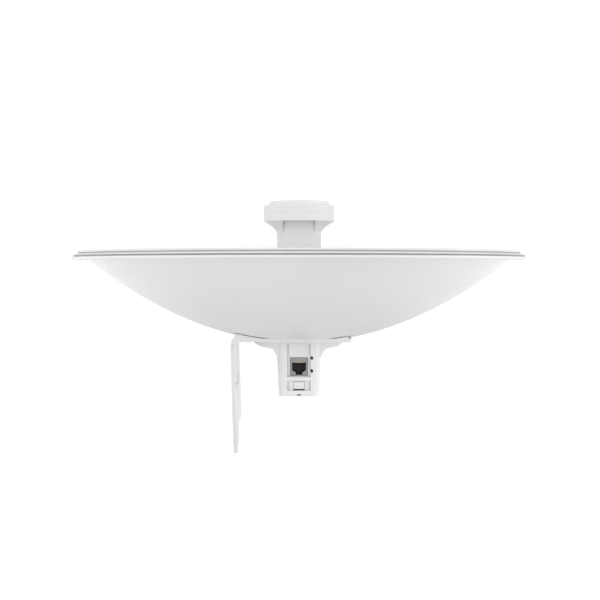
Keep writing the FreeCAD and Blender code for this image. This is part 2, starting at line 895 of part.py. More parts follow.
def add_neck(body, top):
    """The neck, which narrows toward the bottom."""
    sections = []
    for height, half_width in ((s.housing_floor, s.neck_half_width_low),
                               (top, s.neck_half_width_high)):
        section = new_sketch(body, "XY", height)
        symmetric_box(half_width, -s.neck_front, s.neck_back, s.neck_corner)(section)
        section.Visibility = False
        sections.append(section)
    neck = body.newObject("PartDesign::AdditiveLoft", f"{body.Name}_neck")
    neck.Profile = sections[0]
    neck.Sections = [sections[1]]


def cut_wings(body, top):
    """Two pockets for the nuts in each wing, and pilot holes for the housing screws."""
    inner, outer = s.wing_pocket_inner, s.wing_pocket_outer
    near, far = s.wing_rib, s.wing_pocket_depth
    for left, right in ((inner, outer), (-outer, -inner)):
        for low, high in ((-far, -near), (near, far)):
            pocket = box(left, right, low, high)
            extrude(body, "XY", s.wing_pocket_floor, top, pocket, cut=True)
    pilots = circles(s.screw_radius, (s.screw_x, 0.0), (-s.screw_x, 0.0))
    extrude(body, "XY", s.screw_pilot_floor, top, pilots, cut=True)


def cut_front(body):
    """The two windows, the two notches beside the upper one and the drain slot."""
    front, back = -s.neck_front - 1.0, -s.bore_front + 1.0
    half = s.window_half_width
    extrude(body, "XZ", front, back, symmetric_box(half, s.crossbar_top, s.window_top), cut=True)
    lower = symmetric_box(half, s.window_bottom, s.crossbar_bottom)
    extrude(body, "XZ", front, back, lower, cut=True)
    for height in (s.lamp_z, s.reset_z):
        notch = circles(s.notch_radius, (s.notch_x, height))
        extrude(body, "XZ", front, s.notch_depth - s.neck_front, notch, cut=True)
    drain = symmetric_box(s.drain_half_width, s.drain_bottom, s.drain_top)
    extrude(body, "XZ", front, s.drain_depth - s.neck_front, drain, cut=True)


# ---------------------------------------------------------------- fasteners


def make_bolts():
    """Four button-head bolts through the hub and the bracket."""
    body = new_body("bracket_bolts")
    seat = s.hub_height + s.dish_sheet
    tip = s.hub_height - s.plate - s.nut_height
    crown = seat + s.bolt_head_height
    profile = outline(
        (0.0, tip),
        (s.bolt_radius - s.bolt_tip_corner, tip),
        (s.bolt_radius, tip + s.bolt_tip_corner),
        (s.bolt_radius, seat),
        (s.bolt_head_radius, seat),
        (s.bolt_head_radius, seat + s.bolt_head_edge),
        (s.bolt_head_radius * s.bolt_crown_share.value, crown, s.bolt_crown_corner),
        (0.0, crown),
    )
    places = all_corners(s.bolt_x, s.bolt_y)
    for x, y in places:
        turn(body, profile, across=x, toward=y)
    for x, y in places:
        socket = outline(*hexagon(x, y, s.bolt_socket_radius))
        extrude(body, "XY", crown - s.bolt_socket_depth, crown, socket, cut=True)


def hexagon(x, y, reach):
    """Corners of a hexagon."""
    corners = []
    for step in range(6):
        swing = math.radians(60.0 * step)
        corners.append((x + reach * math.cos(swing), y + reach * math.sin(swing)))
    return corners


def make_nuts():
    """Four thin hexagon nuts inside the wings of the housing."""
    body = new_body("bracket_nuts")
    high = s.hub_height - s.plate
    low = high - s.nut_height
    reach = s.nut_across_flats / math.sqrt(3.0)
    for x, y in all_corners(s.bolt_x, s.bolt_y):
        extrude(body, "XY", low, high, outline(*hexagon(x, y, reach)))
    holes = circles(s.bolt_radius + s.nut_fit, *all_corners(s.bolt_x, s.bolt_y))
    extrude(body, "XY", low, high, holes, cut=True)


def make_housing_screws():
    """Two pan-head screws from the dish's front into the housing's wings."""
    body = new_body("housing_screws")
    seat = s.hub_height + s.dish_sheet
    crown = seat + s.screw_head_height
    profile = outline(
        (0.0, s.screw_tip - s.screw_point),
        (s.screw_radius - s.screw_taper, s.screw_tip),
        (s.screw_radius - s.screw_fit, s.screw_tip + 1.0),
        (s.screw_radius - s.screw_fit, seat),
        (s.screw_head_radius, seat),
        (s.screw_head_radius, crown, s.screw_crown_corner),
        (0.0, crown),
    )
    centres = (s.screw_x, -s.screw_x)
    for centre in centres:
        turn(body, profile, across=centre)
    reach, width = s.cross_reach, s.cross_half_width
    for centre in centres:
        for long, short in ((reach, width), (width, reach)):
            cross = box(centre - long, centre + long, -short, short)
            extrude(body, "XY", crown - s.cross_depth, crown, cross, cut=True)


# ---------------------------------------------------------------- feed body


def make_gasket():
    """The ring that seals the collar against the hub."""
    body = new_body("hub_gasket")
    low = s.hub_height + s.dish_sheet
    section = box(s.gasket_inner, s.gasket_outer, low, low + s.gasket, s.gasket_corner)
    turn(body, section)


def make_feed_body():
    """Collar, tube, flare and cup in one moulding, with the tail below the collar."""
    body = new_body("feed_body")
    collar_low = s.hub_height + s.dish_sheet + s.gasket
    profile = outline(
        (0.0, collar_low),
        (s.collar_radius, collar_low, s.collar_foot_corner),
        (s.collar_radius, s.collar_top, s.collar_corner),
        (s.tube_radius, s.collar_top, s.collar_corner),
        (s.tube_radius, s.flare_start, s.flare_start_corner),
        (s.flare_mid_radius, s.flare_mid_height, s.flare_mid_corner),
        (s.flare_end_radius, s.head_bottom, s.flare_end_corner),
        (s.head_radius, s.head_bottom + s.head_rise, s.head_corner),
        (s.head_radius, s.cup_top - s.seam),
        (s.head_radius - s.seam, s.cup_top),
        (0.0, s.cup_top),
    )
    turn(body, profile)
    tail = symmetric_box(s.tail_half_width, -s.tail_front, s.tail_back, s.tail_corner)
    extrude(body, "XY", s.tail_bottom, collar_low + 1.0, tail)
    reach = s.head_radius
    for near, far in ((-reach, -s.tube_flat), (s.tube_flat, reach)):
        flat = symmetric_box(facet_half_width(), s.collar_top, s.head_bottom + s.head_corner)
        extrude(body, "XZ", near, far, flat, cut=True)
    bevel_facets(body)
    cut_feed_cavities(body)
    add_feed_details(body)
    cut_tail_openings(body)


def bevel_facets(body):
    """Narrow slanted faces along both sides of each flat face."""
    inner, outer = s.facet_inner, s.facet_outer
    depth = root(s.tube_radius * s.tube_radius - outer * outer)
    for across, toward in all_corners(1.0, 1.0):
        bevel = outline(
            (inner * across, s.tube_flat * toward),
            (outer * across, depth * toward),
            (outer * across, s.head_radius * toward),
            (inner * across, s.head_radius * toward),
        )
        extrude(body, "XY", s.collar_top, s.head_bottom + s.head_corner, bevel, cut=True)


def facet_half_width():
    """Half the width of the flat face on the tube."""
    return root(s.tube_radius * s.tube_radius - s.tube_flat * s.tube_flat)


def draw_tube_bore(sketch):
    """A circle cut off by two flats."""
    radius, flat = s.tube_bore, s.tube_bore_flat
    up = FreeCAD.Vector(0, 0, 1)
    half_width = math.sqrt(radius.value**2 - flat.value**2)
    rise = math.atan2(flat.value, half_width)
    arcs = []
    for middle in (0.0, math.pi):
        circle = Part.Circle(FreeCAD.Vector(0, 0, 0), up, radius.value)
        arcs.append(sketch.addGeometry(Part.ArcOfCircle(circle, middle - rise, middle + rise), False))
    rules = []
    for arc in arcs:
        rules.append((Sketcher.Constraint("Radius", arc, radius.value), radius))
        pin_point(sketch, rules, arc, 3, (0.0, 0.0))
    for (first, second), height in (((0, 1), flat), ((1, 0), -flat)):
        sign = 1.0 if height.value > 0 else -1.0
        start = FreeCAD.Vector(half_width * sign, height.value, 0)
        end = FreeCAD.Vector(-half_width * sign, height.value, 0)
        line = sketch.addGeometry(Part.LineSegment(start, end), False)
        rules.append((Sketcher.Constraint("Coincident", arcs[first], 2, line, 1), None))
        rules.append((Sketcher.Constraint("Coincident", line, 2, arcs[second], 1), None))
        pin_point(sketch, rules, line, 1, (None, height))
        pin_point(sketch, rules, line, 2, (None, height))
    apply_rules(sketch, rules)


def tail_inside(gap=0.0):
    """Outline of the space inside the tail, shrunk by a gap."""
    wall = s.tail_wall + gap
    corner = s.tail_corner - wall
    return symmetric_box(s.tail_half_width - wall, -s.tail_front + wall, s.tail_back - wall, corner)


def cut_feed_cavities(body):
    """The tail's, the tube's and the head's inside."""
    extrude(body, "XY", s.tail_bottom, s.tail_cavity_top, tail_inside(), cut=True)
    extrude(body, "XY", s.tail_cavity_top, s.head_floor, draw_tube_bore, cut=True)
    cup = circles(s.head_bore, (0.0, 0.0))
    extrude(body, "XY", s.head_floor, s.cup_top, cup, cut=True)


def add_feed_details(body):
    """Rails that hold the main board, and the bosses for the tail's screws."""
    height = s.rail_height
    front, back = -s.board_front - s.rail_gap, -s.board_back + s.rail_gap
    for left, right in ((s.rail_inner, s.rail_outer), (-s.rail_outer, -s.rail_inner)):
        for low, high in ((front - height, front), (back, back + height)):
            extrude(body, "XY", s.rail_bottom, s.rail_top, box(left, right, low, high))
    bosses = ((s.boss_x, s.boss_y), (-s.boss_x, s.boss_y))
    extrude(body, "XY", s.tail_plug_top, s.boss_top, circles(s.boss_radius, *bosses))
    holes = circles(s.boss_hole_radius, *bosses)
    extrude(body, "XY", s.tail_plug_top, s.tail_screw_top + s.boss_hole_spare, holes, cut=True)


def cut_tail_openings(body):
    """Openings in the tail's front: port, lamp, reset button and release latch."""
    front = -s.tail_front - 1.0
    inside = s.tail_wall - s.tail_front
    gap = s.port_hole_gap
    port = symmetric_box(s.port_half_width + gap, s.port_bottom - gap, s.port_top + gap)
    extrude(body, "XZ", front, inside, port, cut=True)
    deep = -s.button_flange_front - s.flange_gap
    for height, radius in ((s.lamp_z, s.lens_hole_radius), (s.reset_z, s.button_hole_radius)):
        extrude(body, "XZ", front, deep, circles(radius, (s.lamp_x, height)), cut=True)
    side, foot = s.latch_side_gap, s.latch_foot_gap
    latch = symmetric_box(s.latch_half_width + side, s.latch_bottom - foot, s.latch_top + side)
    extrude(body, "XZ", front, inside, latch, cut=True)
    near, far = s.tail_groove_inner, s.tail_groove_outer
    for left, right in ((near, far), (-far, -near)):
        groove = box(left, right, s.window_bottom, s.window_top)
        extrude(body, "XZ", front, s.tail_groove_depth - s.tail_front, groove, cut=True)


def make_cap():
    """The cap of the head, with a skirt that fits into the cup."""
    body = new_body("feed_cap")
    line = s.cap_line_height
    inner_step = s.cap_step_radius - s.cap_wall
    profile = outline(
        (0.0, s.cap_top - s.cap_wall),
        (inner_step, s.cap_top - s.cap_wall),
        (inner_step, s.cap_step - s.cap_wall),
        (s.skirt_bore, s.cap_step - s.cap_wall),
        (s.skirt_bore, s.skirt_bottom),
        (s.skirt_radius, s.skirt_bottom),
        (s.skirt_radius, s.seal_bottom),
        (s.seal_groove_radius, s.seal_bottom),
        (s.seal_groove_radius, s.seal_top),
        (s.skirt_radius, s.seal_top),
        (s.skirt_radius, s.cup_top),
        (s.head_radius - s.seam, s.cup_top),
        (s.head_radius, s.cup_top + s.seam),
        (s.head_radius, line),
        (s.head_radius - s.cap_line, line),
        (s.head_radius - s.cap_line, line + s.cap_line),
        (s.head_radius, line + s.cap_line),
        (s.head_radius, s.cap_step, s.cap_step_corner),
        (s.cap_step_radius, s.cap_step, s.cap_inner_corner),
        (s.cap_step_radius, s.cap_top, s.cap_crown_corner),
        (0.0, s.cap_top),
    )
    turn(body, profile)


def make_cap_seal():
    """The rubber ring in the skirt's groove."""
    body = new_body("cap_seal")
    low, high = s.seal_bottom, s.seal_top
    section = box(s.seal_groove_radius, s.seal_outer, low, high, s.seal_corner)
    turn(body, section)


# ---------------------------------------------------------------- antenna parts


def make_antenna():
    """Ground plate, crossed dipole boards, spacer and sub-reflector inside the head."""
    ground = new_body("ground_plate")
    disc = circles(s.ground_radius, (0.0, 0.0))
    extrude(ground, "XY", s.head_floor, s.ground_top, disc)
    pins = ((s.pin_x, -s.pin_y), (-s.pin_x, -s.pin_y))
    hole = circles(s.ground_hole_radius, (0.0, -s.pin_y))
    extrude(ground, "XY", s.head_floor, s.ground_top, hole, cut=True)

    spacer = new_body("dielectric_spacer")
    ring = box(s.spacer_inner, s.spacer_outer, s.ground_top, s.spacer_top)
    turn(spacer, ring)

    dish = new_body("subreflector")
    disc = circles(s.subreflector_radius, (0.0, 0.0))
    extrude(dish, "XY", s.spacer_top, s.subreflector_top, disc)

    make_dipole("dipole_board_x", "XZ", s.dipole_waist, s.dipole_top)
    make_dipole("dipole_board_y", "YZ", s.ground_top, s.dipole_waist)

    pin_body = new_body("antenna_pins")
    extrude(pin_body, "XY", s.pin_bottom, s.pin_top, circles(s.pin_radius, *pins))


def make_dipole(name, plane, slot_low, slot_high):
    """One upright board with a slot that lets it cross the other."""
    body = new_body(name)
    half = s.dipole_board / 2.0
    board = symmetric_box(s.dipole_half_width, s.ground_top, s.dipole_top)
    extrude(body, plane, -half, half, board)
    slot = symmetric_box(s.dipole_slot / 2.0, slot_low, slot_high)
    extrude(body, plane, -half, half, slot, cut=True)


# ---------------------------------------------------------------- main board


def make_board():
    """The main board and the parts soldered to it."""
    front, back = s.board_front, s.board_back
    block("main_board", s.board_half_width, front, back, s.board_bottom, s.board_top)
    hollow_block("radio_shield", s.radio_bottom, s.radio_top)
    hollow_block("processor_shield", s.processor_bottom, s.processor_top)
    for name, half, middle in (
        ("radio_chip", s.radio_half, s.radio_z),
        ("processor_chip", s.processor_half, s.processor_z),
    ):
        block(name, half, s.chip_front, front, middle - half, middle + half)
    low, high = s.processor_z - s.processor_half, s.processor_z + s.processor_half
    block("thermal_pad", s.processor_half, s.pad_front, s.chip_front, low, high)
    block("memory_chip", s.memory_half_width, s.chip_front, front, s.memory_bottom, s.memory_top)
    block("ethernet_transformer", s.transformer_half_width, s.transformer_front, front,
          s.transformer_bottom, s.transformer_top)
    capacitors = new_body("capacitors")
    centres = ((s.capacitor_x, s.capacitor_z), (-s.capacitor_x, s.capacitor_z))
    extrude(capacitors, "XZ", -s.capacitor_front, -front, circles(s.capacitor_radius, *centres))
    make_heat_spreader()


def make_heat_spreader():
    """An aluminium plate with fins on the back of the board."""
    body = new_body("heat_spreader")
    low, high = s.spreader_bottom, s.spreader_top
    plate = symmetric_box(s.spreader_half_width, low, high)
    extrude(body, "XZ", -s.board_back, -s.spreader_base, plate)
    count = int(s.fin_count.value)
    for step in range(count):
        middle = s.fin_pitch * (step - (count - 1) / 2.0)
        fin = box(middle - s.fin_half_width, middle + s.fin_half_width, low, high)
        extrude(body, "XZ", -s.spreader_base, -s.spreader_back, fin)


def make_lamp_and_reset():
    """Status lamp with its light pipe, and the reset switch with its button."""
    lamp, reset = s.lamp_z, s.reset_z
    half = s.led_half
    block("status_led", half, s.led_front, s.board_front, lamp - half, lamp + half, s.lamp_x)
    lens = new_body("led_lens")
    extrude(lens, "XZ", -s.lens_front, -s.lens_back, circles(s.lens_radius, (s.lamp_x, lamp)))
    half = s.switch_half
    block("reset_switch", half, s.switch_front, s.board_front, reset - half, reset + half, s.lamp_x)
    button = new_body("reset_button")
    rod = circles(s.button_radius, (s.lamp_x, reset))
    extrude(button, "XZ", -s.button_front, -s.button_back, rod)
    flange = circles(s.button_flange_radius, (s.lamp_x, reset))
    extrude(button, "XZ", -s.button_flange_front, -s.button_flange_back, flange)


# ---------------------------------------------------------------- network port


def make_port():
    """Metal shell, plastic insert, contacts and the seal around them."""
    half, front, sheet = s.port_half_width, s.port_front, s.port_sheet
    face = -s.port_face
    shell = block("rj45_shell", half, front, s.board_front, s.port_bottom, s.port_top)
    inside = symmetric_box(half - sheet, s.port_bottom + sheet, s.port_top - sheet)
    extrude(shell, "XZ", -front, face, inside, cut=True)
    extrude(shell, "XZ", face + sheet, -s.board_front, inside, cut=True)
    extrude(shell, "XZ", face, face + sheet, outline(*plug_corners()), cut=True)

    low = s.port_bottom + sheet
    insert = block("rj45_insert", half - sheet, s.insert_front, s.board_front, low, s.insert_top)
    extrude(insert, "XZ", -s.insert_front, -s.plug_back, outline(*plug_corners()), cut=True)

    make_contacts()

    seal = new_body("port_seal")
    rim = s.port_seal
    outer = symmetric_box(half + rim, s.port_bottom - rim, s.port_top + rim)
    extrude(seal, "XZ", -s.port_seal_front, -s.port_seal_back, outer)
    inner = symmetric_box(half, s.port_bottom, s.port_top)
    extrude(seal, "XZ", -s.port_seal_front, -s.port_seal_back, inner, cut=True)


def plug_corners():
    """Outline of the plug's space: wide above, with a narrow notch for its latch below."""
    wide, narrow = s.plug_half_width, s.notch_half_width
    right = (
        (wide, s.plug_top),
        (wide, s.plug_bottom),
        (narrow, s.notch_top),
        (narrow, s.notch_bottom),
    )
    left = [(-x, z) for x, z in reversed(right)]
    return [*right, *left]


def make_contacts():
    """Eight sprung contacts that slope down into the plug's space."""
    body = new_body("rj45_contacts")
    top = s.plug_top
    wire = outline(
        (-s.contact_front, top - s.contact_thickness),
        (-s.contact_back, top - s.contact_drop),
        (-s.contact_back, top - s.contact_drop + s.contact_thickness),
        (-s.contact_front, top),
    )
    count = int(s.contact_count.value)
    for step in range(count):
        middle = s.contact_pitch * (step - (count - 1) / 2.0)
        extrude(body, "YZ", middle - s.contact_half_width, middle + s.contact_half_width, wire)


# ---------------------------------------------------------------- latch and tail plug


def make_latch():
    """The release tab, with a ribbed grip."""
    body = new_body("release_latch")
    half = s.latch_half_width
    tab = symmetric_box(half, s.latch_bottom, s.latch_hinge_z)
    extrude(body, "XZ", -s.tail_front, -s.latch_back, tab)
    hinge = circles(s.latch_hinge_radius, (-s.latch_hinge_y, s.latch_hinge_z))
    extrude(body, "YZ", -half, half, hinge)
    rib = symmetric_box(half - s.latch_rib_inset, s.latch_rib_bottom, s.latch_rib_top)
    extrude(body, "XZ", -s.tail_front - s.latch_rib, -s.tail_front, rib)


def make_tail_plug():
    """The plug that closes the tail, and the two screws that hold it."""
    body = new_body("tail_plug")
    extrude(body, "XY", s.tail_bottom, s.tail_plug_top, tail_inside(s.plug_gap.value))
    centres = ((s.boss_x, s.boss_y), (-s.boss_x, s.boss_y))
    holes = circles(s.boss_hole_radius + s.tail_screw_gap, *centres)
    extrude(body, "XY", s.tail_bottom, s.tail_plug_top, holes, cut=True)
    sinks = circles(s.tail_screw_head_radius + s.tail_screw_gap, *centres)
    extrude(body, "XY", s.tail_bottom, s.tail_bottom + s.tail_screw_head, sinks, cut=True)

    screws = new_body("tail_screws")
    shanks = circles(s.tail_screw_radius, *centres)
    extrude(screws, "XY", s.tail_bottom + s.tail_screw_head, s.tail_screw_top, shanks)
    heads = circles(s.tail_screw_head_radius, *centres)
    extrude(screws, "XY", s.tail_bottom, s.tail_bottom + s.tail_screw_head, heads)


# ---------------------------------------------------------------- build and export


def check_and_export():
    """Stop on any broken object, then write one STEP file for each sub-part."""
    doc.recompute()
    for item in doc.Objects:
        if "Invalid" in item.State or "Error" in item.State:
            raise RuntimeError(f"{item.Name} did not compute: {item.State}")
    os.makedirs("parts", exist_ok=True)
    for item in SUBPARTS:
        shape = item.Shape
        if shape.isNull() or not shape.isValid():
            raise RuntimeError(f"{item.Label} has no valid shape")
    for item in SUBPARTS:
        item.Shape.exportStep(f"parts/{item.Label}.step")


make_dish()
make_bracket()
make_housing()
make_bolts()
make_nuts()
make_housing_screws()
make_gasket()
make_feed_body()
make_cap()
make_cap_seal()
make_antenna()
make_board()
make_lamp_and_reset()
make_port()
make_latch()
make_tail_plug()
check_and_export()
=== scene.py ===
"""Looks, light and camera for the outdoor wireless bridge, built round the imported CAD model."""

import json

import bmesh
import bpy
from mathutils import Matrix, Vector


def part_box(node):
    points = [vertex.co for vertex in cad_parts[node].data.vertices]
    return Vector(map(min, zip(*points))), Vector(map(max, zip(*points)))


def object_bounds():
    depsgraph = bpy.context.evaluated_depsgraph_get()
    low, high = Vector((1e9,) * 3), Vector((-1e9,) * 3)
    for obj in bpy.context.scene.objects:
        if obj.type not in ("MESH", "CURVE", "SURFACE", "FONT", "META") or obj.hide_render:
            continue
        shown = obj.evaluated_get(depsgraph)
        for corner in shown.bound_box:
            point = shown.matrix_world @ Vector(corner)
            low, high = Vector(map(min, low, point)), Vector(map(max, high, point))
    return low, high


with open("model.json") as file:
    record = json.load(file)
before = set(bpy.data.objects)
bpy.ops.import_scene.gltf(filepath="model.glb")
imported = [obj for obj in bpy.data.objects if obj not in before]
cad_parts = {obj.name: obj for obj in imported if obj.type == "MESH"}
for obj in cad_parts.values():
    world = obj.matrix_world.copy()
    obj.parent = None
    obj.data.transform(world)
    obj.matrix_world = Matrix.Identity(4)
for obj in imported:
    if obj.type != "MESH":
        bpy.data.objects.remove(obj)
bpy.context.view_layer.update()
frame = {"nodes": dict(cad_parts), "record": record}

NODES = frame["nodes"]
SLOT_OF = {item["node"]: item["material_slot"] for item in frame["record"]["subparts"]}

dish_low, dish_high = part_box("dish_reflector")
AXIS = Vector(((dish_low.x + dish_high.x) / 2, (dish_low.y + dish_high.y) / 2, 0))
# The dish's curve would reach its lowest point this far below the flat hub's underside.
HUB_ABOVE_VERTEX = 0.006
VERTEX_Z = dish_low.z - HUB_ABOVE_VERTEX
# Most of a noise texture's values lie between these two.
NOISE_RANGE = (0.3, 0.7)

# Colours.
# Colour of the painted shade laid into the dish rim's grooves.
GROOVE_SHADE = (0.25, 0.24, 0.235)
WHITE_DISH = (0.80, 0.805, 0.82)
WHITE_STEEL = (0.79, 0.792, 0.80)
WHITE_HOUSING = (0.83, 0.832, 0.833)
WHITE_FEED = (0.84, 0.84, 0.84)
FLOOR_GREYS = ((0.44, 0.44, 0.44), (0.47, 0.47, 0.47))
SKY = (0.995, 0.997, 1.0, 1.0)

# Depths of surface relief, in metres.
GRAIN_DEPTH = 0.0001
COARSE_DEPTH = 0.0003
PEEL_DEPTH = 0.0004

# Camera: millimetres for the lens, metres from the dish's axis and vertex for the rest.
LENS = 63.78
SENSOR = 36.0
VIEW_DISTANCE = 1.0
EYE_HEIGHT = 0.0695
AIM_HEIGHT = 0.0394
AIM_ACROSS = 0.00094

# Floor: metres.
FLOOR_RADIUS = 26.0
FLOOR_DROP = 0.34
# The floor glows from weak to strong between two distances to either side of the part.
FLOOR_GLOW = (0.2, 1.1)
FLOOR_GLOW_REACH = (0.2, 1.2)
# Brightness of floor and surroundings as the camera sees them.
SHOWN_WHITE = 1.05

# Lights: metres and watts.
LIGHT_CENTRE = 0.04
SIDE_LIGHTS = (("side_left", -1.5, 2.5), ("side_right", 1.5, 4.2))
SIDE_SIZE = (1.0, 1.6)
OVERHEAD_SIZE = (2.0, 2.0)
OVERHEAD_POWER = 3.0


# ------------------------------------------------------------------ node helpers


class Nodes:
    """Short calls for building one material's node tree."""

    def __init__(self, name):
        self.material = bpy.data.materials.new(name)
        self.material.use_nodes = True
        self.tree = self.material.node_tree
        self.shader = self.tree.nodes["Principled BSDF"]
        self.place = self.add("ShaderNodeTexCoord").outputs["Object"]

    def add(self, kind, **values):
        node = self.tree.nodes.new(kind)
        for key, value in values.items():
            setattr(node, key, value)
        return node

    def link(self, output, socket):
        self.tree.links.new(output, socket)

    def noise(self, scale, detail=2.0, roughness=0.5, stretch=None):
        node = self.add("ShaderNodeTexNoise")
        node.inputs["Scale"].default_value = scale
        node.inputs["Detail"].default_value = detail
        node.inputs["Roughness"].default_value = roughness
        self.link(self.stretched(stretch), node.inputs["Vector"])
        return node.outputs["Fac"]

    def stretched(self, stretch):
        if stretch is None:
            return self.place
        node = self.add("ShaderNodeMapping")
        node.inputs["Scale"].default_value = stretch
        self.link(self.place, node.inputs["Vector"])
        return node.outputs["Vector"]

    def cells(self, scale):
        node = self.add("ShaderNodeTexVoronoi")
        node.inputs["Scale"].default_value = scale
        self.link(self.place, node.inputs["Vector"])
        return node.outputs["Distance"]

    def spread(self, value, low, high, from_low=0.0, from_high=1.0):
        node = self.add("ShaderNodeMapRange")
        node.inputs["From Min"].default_value = from_low
        node.inputs["From Max"].default_value = from_high
        node.inputs["To Min"].default_value = low
        node.inputs["To Max"].default_value = high
        self.link(value, node.inputs["Value"])
        return node.outputs["Result"]

    def drift(self, value, low=0.0, high=1.0):
        """Spread a noise over the range from low to high."""
        return self.spread(value, low, high, *NOISE_RANGE)

    def mix(self, factor, first, second):
        node = self.add("ShaderNodeMix", data_type="RGBA")
        node.inputs["A"].default_value = (*first, 1.0)
        node.inputs["B"].default_value = (*second, 1.0)
        self.link(factor, node.inputs["Factor"])
        return node.outputs["Result"]

    def bump(self, height, strength, distance, after=None):
        node = self.add("ShaderNodeBump")
        node.inputs["Strength"].default_value = strength
        node.inputs["Distance"].default_value = distance
        self.link(height, node.inputs["Height"])
        if after is not None:
            self.link(after, node.inputs["Normal"])
        return node.outputs["Normal"]

    def groove(self, low, high, inner):
        """1 between two heights and outside a distance from the dish's axis, 0 elsewhere."""
        edge = 0.0002
        split = self.add("ShaderNodeSeparateXYZ")
        self.link(self.place, split.inputs["Vector"])
        above = self.spread(split.outputs["Z"], 0.0, 1.0, low - edge, low)
        below = self.spread(split.outputs["Z"], 1.0, 0.0, high, high + edge)
        level = self.add("ShaderNodeCombineXYZ")
        self.link(split.outputs["X"], level.inputs["X"])
        self.link(split.outputs["Y"], level.inputs["Y"])
        reach = self.add("ShaderNodeVectorMath", operation="DISTANCE")
        self.link(level.outputs["Vector"], reach.inputs[0])
        reach.inputs[1].default_value = AXIS
        outside = self.spread(reach.outputs["Value"], 0.0, 1.0, inner - edge, inner)
        return self.product(self.product(above, below), outside)

    def product(self, first, second):
        node = self.add("ShaderNodeMath", operation="MULTIPLY")
        self.link(first, node.inputs[0])
        self.link(second, node.inputs[1])
        return node.outputs["Value"]

    def painted_groove_shade(self, color, place, amount):
        """Darken a colour with painted shade inside a groove, a little unevenly."""
        node = self.add("ShaderNodeMix", data_type="RGBA")
        patches = self.spread(self.noise(60.0, 3.0), amount * 0.75, amount)
        self.link(self.product(place, patches), node.inputs["Factor"])
        self.link(color, node.inputs["A"])
        node.inputs["B"].default_value = (*GROOVE_SHADE, 1.0)
        return node.outputs["Result"]

    def finish(self, color=None, roughness=None, normal=None, **plain):
        for output, name in ((color, "Base Color"), (roughness, "Roughness"), (normal, "Normal")):
            if output is not None:
                self.link(output, self.shader.inputs[name])
        for name, value in plain.items():
            self.shader.inputs[name.replace("_", " ")].default_value = value
        return self.material


def shade(color, amount):
    """The same colour, lighter or darker."""
    return tuple(min(1.0, channel * amount) for channel in color)


# ------------------------------------------------------------------ materials


def powder_coat(name, color, peel=420.0, grooves=()):
    """Baked powder coat: faint orange peel, fine grain, slow changes of shade, painted shade in
    grooves.
    """
    n = Nodes(name)
    slow = n.drift(n.noise(9.0, 3.0))
    tint = n.mix(slow, shade(color, 0.975), shade(color, 1.01))
    # Painted shade: the rim's grooves are darkened in the paint colour.
    for low, high, inner, amount in grooves:
        tint = n.painted_groove_shade(tint, n.groove(low, high, inner), amount)
    rough_map = n.drift(n.noise(60.0, 4.0), 0.30, 0.44)
    peel_bump = n.bump(n.noise(peel, 1.5), 0.16, PEEL_DEPTH)
    grain = n.bump(n.noise(2600.0, 2.0), 0.10, GRAIN_DEPTH, peel_bump)
    return n.finish(tint, rough_map, grain, Coat_Weight=0.12, Coat_Roughness=0.25)


def moulding(name, color, rough, strength=0.16):
    """Moulded plastic: spark-eroded grain, faint flow marks and uneven gloss."""
    n = Nodes(name)
    flow = n.drift(n.noise(22.0, 3.0, 0.55, (1.0, 1.0, 0.35)))
    tint = n.mix(flow, shade(color, 0.98), shade(color, 1.01))
    rough_map = n.drift(n.noise(140.0, 3.0), *rough)
    coarse = n.bump(n.noise(300.0, 1.0), 0.05, COARSE_DEPTH)
    fine = n.bump(n.noise(1700.0, 2.0), strength, GRAIN_DEPTH, coarse)
    return n.finish(tint, rough_map, fine, IOR=1.49)


def plated(name, color, rough=(0.29, 0.44)):
    """Plated or rolled metal with fine drawn marks and patches of dullness."""
    scratch = (1.0, 1.0, 14.0)
    n = Nodes(name)
    patch = n.drift(n.noise(160.0, 4.0, 0.6))
    tint = n.mix(patch, shade(color, 0.86), shade(color, 1.06))
    rough_map = n.drift(n.noise(420.0, 3.0, 0.6, scratch), *rough)
    marks = n.bump(n.noise(900.0, 2.0, 0.5, scratch), 0.18, GRAIN_DEPTH)
    return n.finish(tint, rough_map, marks, Metallic=1.0)


def soft_rubber(name, color):
    """Dull rubber with a dusty bloom."""
    n = Nodes(name)
    bloom = n.spread(n.noise(90.0, 4.0, 0.6), 0.0, 1.0, 0.35, 0.7)
    tint = n.mix(bloom, color, shade(color, 1.7))
    rough_map = n.drift(n.noise(300.0, 2.0), 0.62, 0.82)
    pores = n.bump(n.noise(1500.0, 2.0), 0.2, GRAIN_DEPTH)
    return n.finish(tint, rough_map, pores)


def circuit(name):
    """Solder mask over glass cloth, with pale tracks under it."""
    n = Nodes(name)
    weave = n.bump(n.noise(700.0, 1.0, 0.5, (1.0, 1.0, 3.0)), 0.12, GRAIN_DEPTH)
    track = n.add("ShaderNodeTexBrick")
    track.inputs["Scale"].default_value = 160.0
    track.inputs["Mortar Size"].default_value = 0.012
    track.inputs["Color1"].default_value = (0.012, 0.10, 0.045, 1.0)
    track.inputs["Color2"].default_value = (0.016, 0.13, 0.055, 1.0)
    track.inputs["Mortar"].default_value = (0.035, 0.22, 0.09, 1.0)
    n.link(n.place, track.inputs["Vector"])
    rough_map = n.drift(n.noise(200.0, 2.0), 0.29, 0.4)
    return n.finish(track.outputs["Color"], rough_map, weave)


def foam(name):
    """Rigid white foam with closed cells."""
    n = Nodes(name)
    cell = n.cells(900.0)
    tint = n.mix(n.spread(cell, 0.0, 1.0, 0.0, 0.6), (0.80, 0.80, 0.78), (0.90, 0.90, 0.88))
    return n.finish(tint, n.spread(n.noise(200.0), 0.8, 0.95), n.bump(cell, 0.4, COARSE_DEPTH))


# The rolled edge's two grooves, darkened with painted shade: lowest and highest point, distance
# from the axis, strength of the painted shade.
RIM_GROOVES = (
    (dish_high.z - 0.00245, dish_high.z - 0.0018, 0.2028, 0.6),
    (dish_high.z - 0.0053, dish_high.z - 0.0044, 0.2070, 0.9),
)

